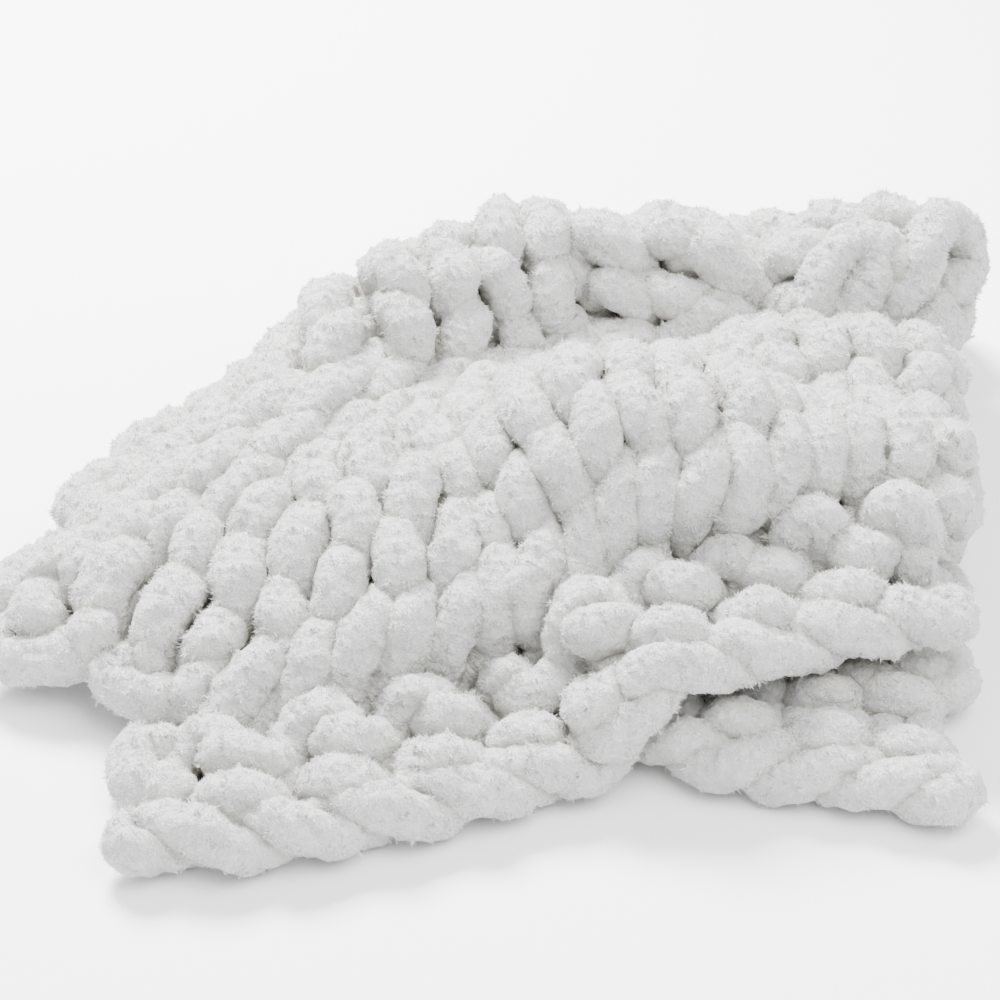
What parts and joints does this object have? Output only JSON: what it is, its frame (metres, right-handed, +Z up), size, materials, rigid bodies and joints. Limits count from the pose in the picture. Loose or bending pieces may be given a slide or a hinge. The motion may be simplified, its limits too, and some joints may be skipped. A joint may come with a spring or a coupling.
{
  "type": "throw blanket",
  "caption": "Chunky knitted chenille throw folded in half and lying rumpled, with raised stitches, ribbed near edge, a back fold and the lower layer's free edge showing.",
  "frame": {"origin": "middle of the box's base, on the surface that the throw lies on", "axes": "+X runs across the knit's columns from the loose left edge to the right edge, +Y from the near free edge to the back fold, +Z up"},
  "size_m": [0.5632, 0.5338, 0.1484],
  "materials": {
    "chenille": "matte plush pile"
  },
  "bodies": {
    "root": {"throw": "chenille"}
  },
  "joints": []
}
